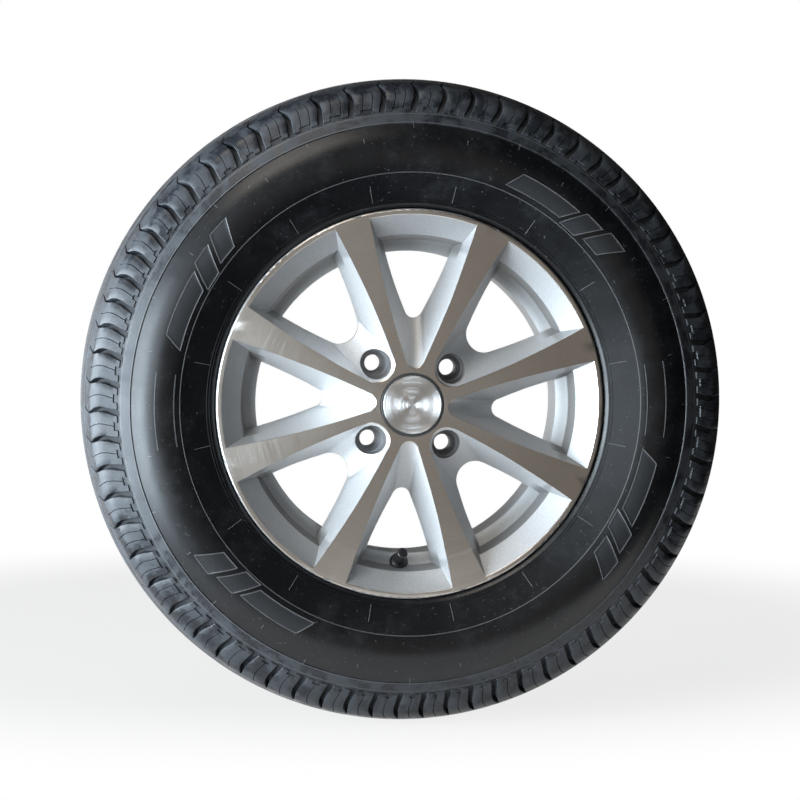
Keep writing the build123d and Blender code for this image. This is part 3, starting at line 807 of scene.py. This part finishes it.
def add_bar(bm, outline, start, bar):
    """One slanted bar: a fine rim round a grained panel."""
    inner_r, outer_r, first, last, lean = bar
    cells = (max(BAR_LEAST_CELLS, round((last - first) / BAR_STEP)), BAR_ROWS)
    angles = (start + first, start + last)
    faces = relief(bm, outline, (inner_r, outer_r), angles, lean, BAR_HEIGHT, cells)
    inset = {"thickness": BAR_RIM, "depth": -BAR_RECESS, "use_even_offset": True, "use_boundary": True}
    rim = bmesh.ops.inset_region(bm, faces=faces, **inset)["faces"]
    for face in faces:
        face.material_index = 1
    bmesh.ops.solidify(bm, geom=faces + rim, thickness=RELIEF_BODY)


def add_plate(bm, outline, start):
    """The two arcs that bound a bare plate."""
    angles = (start, start + PLATE_SPAN)
    for arc in PLATE_ARCS:
        faces = relief(bm, outline, arc, angles, 0.0, BAR_HEIGHT, PLATE_CELLS)
        bmesh.ops.solidify(bm, geom=faces, thickness=RELIEF_BODY)


def add_flash(bm, outline, ring):
    """A ring of thin radial lines of flash."""
    inner_r, outer_r, first = ring
    half = math.degrees(FLASH_WIDTH / 2 / inner_r)
    for index in range(FLASH_COUNT):
        angle = first + index * 360 / FLASH_COUNT
        angles = (angle - half, angle + half)
        faces = relief(bm, outline, (inner_r, outer_r), angles, 0.0, FLASH_HEIGHT, (1, FLASH_ROWS))
        for face in faces:
            # The flash takes the third finish, painted lighter as a painted highlight
            face.material_index = 2
        bmesh.ops.solidify(bm, geom=faces, thickness=RELIEF_BODY)


def sidewall_marks():
    """The raised bars, plates and flash lines, on both sidewalls."""
    outline = sidewall_outline()
    bm = bmesh.new()
    for start in BAR_STARTS:
        for bar in BARS:
            add_bar(bm, outline, start, bar)
    for start in PLATE_STARTS:
        add_plate(bm, outline, start)
    for ring in FLASH_RINGS:
        add_flash(bm, outline, ring)
    turn_over(bm)
    add_piece("sidewall_marks", bm, [edge_painted_highlight(), bar_panel(), plain("bleached_flash")])


def find_joint(name):
    return next(joint for joint in frame["joints"] if joint["name"] == name)


def stem_placing():
    """Turns a piece drawn along Z so that it stands on the valve's stem."""
    joint = find_joint(CAP_JOINT)
    axis = Vector(joint["axis"]).normalized()
    centre = Vector(joint["pos_m"])
    tip = max(axis.dot(vertex.co) for vertex in frame["nodes"]["valve_tube"].data.vertices)
    foot = centre + axis * (tip - TUBE_LENGTH * MM - axis.dot(centre))
    turn = axis.to_track_quat("Z", "Y").to_matrix().to_4x4()
    return Matrix.Translation(foot) @ turn @ Matrix.Scale(MM, 4)


def rows_between(zone, count):
    """Evenly spaced heights from one end of a zone to the other."""
    low, high = zone
    return [low + (high - low) * row / count for row in range(count + 1)]


def dent(bm, wall_r, zone, depth, wave):
    """Push a round wall inwards by a wave of its angle and height, fading out at the zone's ends."""
    low, high = zone
    for vert in bm.verts:
        radius = math.hypot(vert.co.x, vert.co.y)
        if abs(radius - wall_r) > MERGE or not low < vert.co.z < high:
            continue
        angle = math.atan2(vert.co.y, vert.co.x)
        fade = min(1, (vert.co.z - low) / DENT_FADE, (high - vert.co.z) / DENT_FADE)
        share = 1 - depth * fade * wave(angle, vert.co.z) / wall_r
        vert.co.x *= share
        vert.co.y *= share


def thread_wave(angle, height):
    """0 on the crest of a right-hand thread, 1 at its root."""
    return 0.5 - 0.5 * math.cos(angle - math.tau * height / THREAD_PITCH)


def rib_wave(angle, height):
    """0 on a rib, 1 between two."""
    return 0.5 - 0.5 * math.cos(RIBS * angle)


def valve_tube():
    """The brass tube with its outer thread."""
    rows = round((THREAD[1] - THREAD[0]) / THREAD_PITCH * THREAD_ROWS)
    corners = [(TUBE_AIR_R, TUBE_TAIL), (TUBE_ROOT_R, TUBE_TAIL)]
    corners += [(TUBE_ROOT_R, TUBE_STEP), (TUBE_R, TUBE_STEP)]
    corners += [(TUBE_R, height) for height in rows_between(THREAD, rows)]
    corners += [(TUBE_R, TUBE_LENGTH), (TUBE_BORE_R, TUBE_LENGTH), (TUBE_BORE_R, TUBE_BORE_END)]
    corners += [(TUBE_AIR_R, TUBE_BORE_END), (TUBE_AIR_R, TUBE_TAIL)]
    bm = bmesh.new()
    spin_outline(bm, [Vector(corner) for corner in corners], STEM_STEPS)
    bmesh.ops.remove_doubles(bm, verts=bm.verts, dist=MERGE)
    dent(bm, TUBE_R, THREAD, THREAD_DEPTH, thread_wave)
    finishes = [plain("brass")]
    add_piece("threaded_tube", bm, finishes, replaced=["valve_tube"], placing=stem_placing())


def dust_cap():
    """The dust cap, ribbed for the fingers."""
    outside = [(DUST_CAP_R, height, 0) for height in rows_between(RIB_ZONE, RIB_ROWS)]
    corners = [(0, DUST_CAP_ROOF, 0), (DUST_CAP_BORE_R, DUST_CAP_ROOF, 0)]
    corners += [(DUST_CAP_BORE_R, DUST_CAP_START, 0), (DUST_CAP_R, DUST_CAP_START, 0), *outside]
    corners += [(DUST_CAP_R, DUST_CAP_TOP, DUST_CAP_ROUND), (0, DUST_CAP_TOP, 0)]
    bm = bmesh.new()
    spin_outline(bm, rounded(corners), RIBS * RIB_COLUMNS)
    bmesh.ops.remove_doubles(bm, verts=bm.verts, dist=MERGE)
    dent(bm, DUST_CAP_R, RIB_ZONE, RIB_DEPTH, rib_wave)
    finishes = [plain("dust_cap_plastic")]
    add_piece("ribbed_cap", bm, finishes, CAP_BODY, ["valve_cap"], stem_placing())


def core_spring():
    """The valve core's coil spring, smoothed and given its own mesh; how far it would shorten when the
    pin is pressed is worked out but not applied.
    """
    joint = find_joint(CORE_JOINT)
    press = Vector(joint["axis"]).normalized()
    piece = smooth_copy("valve_core_spring", [plain("spring_steel")])
    depths = [press.dot(vertex.co) for vertex in piece.data.vertices]
    foot = max(depths)
    length = foot - min(depths)
    left = 1 - (joint["range_m"][1] + SPRING_ROOM) / length
    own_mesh(piece)


def cap_face():
    """The centre cap's disc, with a fine rim round its turned face."""
    face = CAP_FRONT - CAP_RECESS
    back = CAP_FRONT - CAP_FACE_THICKNESS
    corners = [
        (0.0, face),
        (CAP_FACE_R - CAP_EDGE, face),
        (CAP_FACE_R - CAP_EDGE / 2, CAP_FRONT),
        (CAP_FACE_R, CAP_FRONT - CAP_EDGE_DROP),
        (CAP_FACE_R, back),
        (0.0, back),
    ]
    bm = bmesh.new()
    spin_outline(bm, [Vector(corner) for corner in corners], CAP_STEPS)
    bmesh.ops.remove_doubles(bm, verts=bm.verts, dist=MERGE)
    add_piece("centre_cap_disc", bm, [spun_aluminium()], replaced=["centre_cap_face"])


def rubber():
    """Moulded rubber: dry and grey on the tread, darker and smoother on the sidewall."""
    finish = Finish("moulded_rubber")
    radius = finish.radius()
    tread = radius.ramp(TREAD_START, TREAD_START + TREAD_BLEND)
    cloud = finish.noise(*CLOUD_NOISE)
    grain = finish.noise(*GRAIN_NOISE)
    dust = finish.noise(*DUST_NOISE).ramp(*DUST_EDGE)
    speck = finish.noise(*SPECK_NOISE).ramp(*SPECK_EDGE)
    side = finish.mix(cloud, *SIDE_RUBBER)
    side = finish.mix(dust * DUST_COVER, side, DUST)
    side = finish.mix(speck * SPECK_COVER, side, SPECK)
    patch = cloud.ramp(*PATCH_EDGE)
    colour = finish.mix(tread, side, finish.mix(patch, *TREAD_RUBBER))
    # Rings painted lighter: partly scuffing, partly a painted highlight
    for ring, width in SCUFF_AND_HIGHLIGHT_RINGS:
        scuff_and_highlight = (radius - ring * MM).math("ABSOLUTE").below(width * MM / 2)
        colour = finish.mix(scuff_and_highlight, colour, RING_SCUFF_AND_HIGHLIGHT)
    rough = RUBBER_ROUGH + CLOUD_ROUGH * cloud + DUST_ROUGH * dust
    rough = rough + tread * (PATCH_ROUGH * patch - TREAD_POLISH)
    normal = finish.bump(grain * (SIDE_GRAIN + (1 - SIDE_GRAIN) * tread), *RUBBER_BUMP)
    inputs = {"Base Color": colour, "Roughness": rough, "Normal": normal}
    inputs |= {"Specular IOR Level": RUBBER_SPECULAR}
    inputs |= {"Coat Weight": SIDE_COAT * (1 - tread), "Coat Roughness": COAT_ROUGH}
    return finish.principled(inputs)


def slot_rubber():
    """Rubber on the floors of the slots, painted lighter as painted light falling on them."""
    finish = Finish("slot_rubber")
    colour = finish.mix(finish.noise(*SLOT_NOISE), *SLOT_FLOOR_PAINTED_LIGHT)
    inputs = {"Base Color": colour, "Roughness": SLOT_ROUGH, "Specular IOR Level": SLOT_SPECULAR}
    return finish.principled(inputs)


def edge_painted_highlight():
    """Rubber of fine raised edges, painted lighter as a painted highlight along them."""
    finish = Finish("scuffed_rubber_edge")
    colour = finish.mix(finish.noise(*EDGE_HIGHLIGHT_NOISE), *EDGE_PAINTED_HIGHLIGHT)
    return finish.principled({"Base Color": colour, "Roughness": EDGE_ROUGH})


def bar_panel():
    """The grained rubber inside a raised rim."""
    finish = Finish("grained_rubber")
    grain = finish.noise(*PANEL_NOISE)
    inputs = {"Base Color": finish.mix(grain, *PANEL_RUBBER), "Roughness": PANEL_ROUGH}
    inputs |= {"Normal": finish.bump(grain, *PANEL_BUMP), "Specular IOR Level": PANEL_SPECULAR}
    return finish.principled(inputs)


def cast_and_turned():
    """The wheel's silver paint and turned bright face, with duller pockets; the rim slope and barrel are
    painted darker as painted shade.
    """
    finish = Finish("painted_and_turned_aluminium")
    x, y, z = finish.axes()
    height = y * -1
    radius = finish.radius()
    turned = turned_face(radius, height)
    flake = finish.noise(*PAINT_FLAKE)
    paint = finish.mix(bolt_pocket(x, z, radius), finish.mix(flake, *PAINT), POCKET_PAINT)
    # Painted shade: the rim's slope is painted darker
    rim = height.above(LEDGE_TOP) * radius.ramp(*RIM_START)
    paint = finish.mix(rim, paint, finish.mix(flake, *RIM_PAINTED_SHADE))
    # Painted shade: the barrel's inside is painted darker
    barrel = height.below(LEDGE_TOP) * radius.ramp(*BARREL_START)
    paint = finish.mix(barrel, paint, finish.mix(flake, *BARREL_PAINTED_SHADE))
    line = finish.turning_lines(radius)
    bright = finish.mix(line.ramp(*TURNED_LINE_EDGE), *TURNED_METAL)
    rough = PAINT_ROUGH - TURNED_POLISH * turned + FLAKE_ROUGH * flake
    metal = PAINT_METALLIC + (1 - PAINT_METALLIC) * turned
    relief_height = line * turned + flake * FLAKE_HEIGHT * (1 - turned)
    inputs = {"Base Color": finish.mix(turned, paint, bright), "Roughness": rough, "Metallic": metal}
    inputs |= {"Normal": finish.bump(relief_height, *WHEEL_BUMP)}
    return finish.principled(inputs)


def turned_face(radius, height):
    """1 on the street face that the lathe left bright: a near flat hub and a rim that falls away."""
    hub = HUB_FACE - radius * CROWN_SLOPE
    outer = CROWN_POINT[1] - (radius - CROWN_POINT[0]) * RIM_SLOPE
    return (height - hub.lower_of(outer)).above(-TURNED_DEPTH)


def bolt_pocket(x, z, radius):
    """1 inside the four pockets round the bolt holes."""
    quarter = (x.math("ARCTAN2", z) - BOLT_FIRST) / BOLT_QUARTER
    swing = (quarter - quarter.math("ROUND")) * BOLT_QUARTER
    aside = radius * swing.math("SINE")
    out = radius * swing.math("COSINE") - BOLT_R
    return (aside * aside + out * out).below(POCKET_R**2)


def spun_aluminium():
    """Bare turned aluminium of the centre cap."""
    finish = Finish("spun_aluminium")
    normal = finish.bump(finish.turning_lines(finish.radius()), *DISC_BUMP)
    inputs = {"Base Color": DISC_METAL, "Metallic": 1.0, "Roughness": DISC_ROUGH, "Normal": normal}
    return finish.principled(inputs)


def plain(name):
    """A plain finish from the table, faintly uneven in its roughness."""
    colour, roughness, metallic = PLAIN_FINISHES[name]
    finish = Finish(name)
    rough = roughness + PLAIN_UNEVEN * (finish.noise(*PLAIN_NOISE) - NOISE_MIDDLE)
    return finish.principled({"Base Color": colour, "Roughness": rough, "Metallic": metallic})


def dress_frame():
    """Give the CAD pieces that stay as they are their finishes."""
    seal = plain("seal_rubber")
    finishes = {
        "centre_cap_spring": plain("spring_steel"),
        "valve_core_body": plain("brass"),
        "valve_core_pin": plain("brass"),
        "valve_core_seal": seal,
        "valve_cap_seal": seal,
    }
    for node, finish in finishes.items():
        mesh = frame["nodes"][node].data
        mesh.materials.clear()
        mesh.materials.append(finish)


def white_stage():
    """A round floor under and behind the wheel."""
    bm = bmesh.new()
    bmesh.ops.create_circle(bm, cap_ends=True, segments=FLOOR_SIDES, radius=FLOOR_R)
    bmesh.ops.translate(bm, verts=bm.verts, vec=(0, FLOOR_BACK, FLOOR_Z))
    mesh = bpy.data.meshes.new("floor")
    bm.to_mesh(mesh)
    bm.free()
    floor = bpy.data.objects.new("floor", mesh)
    bpy.context.scene.collection.objects.link(floor)
    mesh.materials.append(pale_floor())


def pale_floor():
    """Keeps the shadow near the wheel and fades to white away from it."""
    finish = Finish("pale_floor")
    x, y, z = finish.axes()
    back = y - FLOOR_BACK
    away = ((x * x + back * back) ** 0.5).ramp(*FLOOR_FADE)
    lit = finish.node("ShaderNodeBsdfDiffuse", inputs={"Color": FLOOR_COLOUR})
    white = finish.node("ShaderNodeEmission", inputs={"Color": WHITE, "Strength": 1.0})
    seen = finish.any_ray("Is Camera Ray", "Is Glossy Ray", "Is Transmission Ray")
    factor = seen * (FLOOR_WHITE + away * (1 - FLOOR_WHITE))
    mixed = finish.node("ShaderNodeMixShader", inputs={0: factor, 1: lit, 2: white})
    finish.node("ShaderNodeOutputMaterial", inputs={"Surface": mixed})
    return finish.material


def room():
    """The world: white to the camera and behind the wheel, dim at the sides, warmer in front."""
    world = bpy.data.worlds.new("room")
    bpy.context.scene.world = world
    world.use_nodes = True
    finish = Finish("room", world.node_tree)
    aside, depth = finish.axes("Generated")[:2]
    left_back = aside * ROOM_LEFT_BACK[0] + depth * ROOM_LEFT_BACK[1]
    sides = finish.mix(depth.ramp(*ROOM_FRONT), ROOM_SIDE_COLOUR, ROOM_FRONT_COLOUR)
    white = depth.ramp(*ROOM_BACK).higher_of(left_back.ramp(*ROOM_LEFT_WHITE))
    surroundings = finish.mix(white, sides, WHITE)
    colour = finish.mix(finish.any_ray("Is Camera Ray", "Is Transmission Ray"), surroundings, WHITE)
    background = finish.node("ShaderNodeBackground", inputs={"Color": colour, "Strength": 1.0})
    finish.node("ShaderNodeOutputWorld", inputs={"Surface": background})


def lamp(name, place, size, power, colour):
    """A soft lamp that faces the wheel."""
    light = bpy.data.lights.new(name, "AREA")
    light.shape = "RECTANGLE"
    light.size, light.size_y = size
    light.energy = power
    light.color = colour
    holder = bpy.data.objects.new(name, light)
    holder.location = place
    holder.rotation_euler = (-Vector(place)).to_track_quat("-Z", "Y").to_euler()
    bpy.context.scene.collection.objects.link(holder)


def camera():
    """The photograph's camera."""
    lens = bpy.data.cameras.new("camera")
    lens.sensor_width = SENSOR
    lens.lens = SENSOR * PHOTO_FOCAL / PHOTO_WIDTH
    holder = bpy.data.objects.new("camera", lens)
    holder.location = CAMERA_AT
    look = Vector(CAMERA_TARGET) - Vector(CAMERA_AT)
    holder.rotation_euler = look.to_track_quat("-Z", "Y").to_euler()
    bpy.context.scene.collection.objects.link(holder)
    bpy.context.scene.camera = holder


def main():
    bpy.context.scene.view_settings.view_transform = "Standard"
    tyre()
    sidewall_marks()
    smooth_copy("wheel", [cast_and_turned()])
    smooth_copy("centre_cap", [plain("cap_moulding")])
    smooth_copy("valve_body", [plain("valve_rubber")])
    cap_face()
    valve_tube()
    dust_cap()
    core_spring()
    dress_frame()
    white_stage()
    room()
    for row in LAMPS:
        lamp(*row)
    camera()


main()
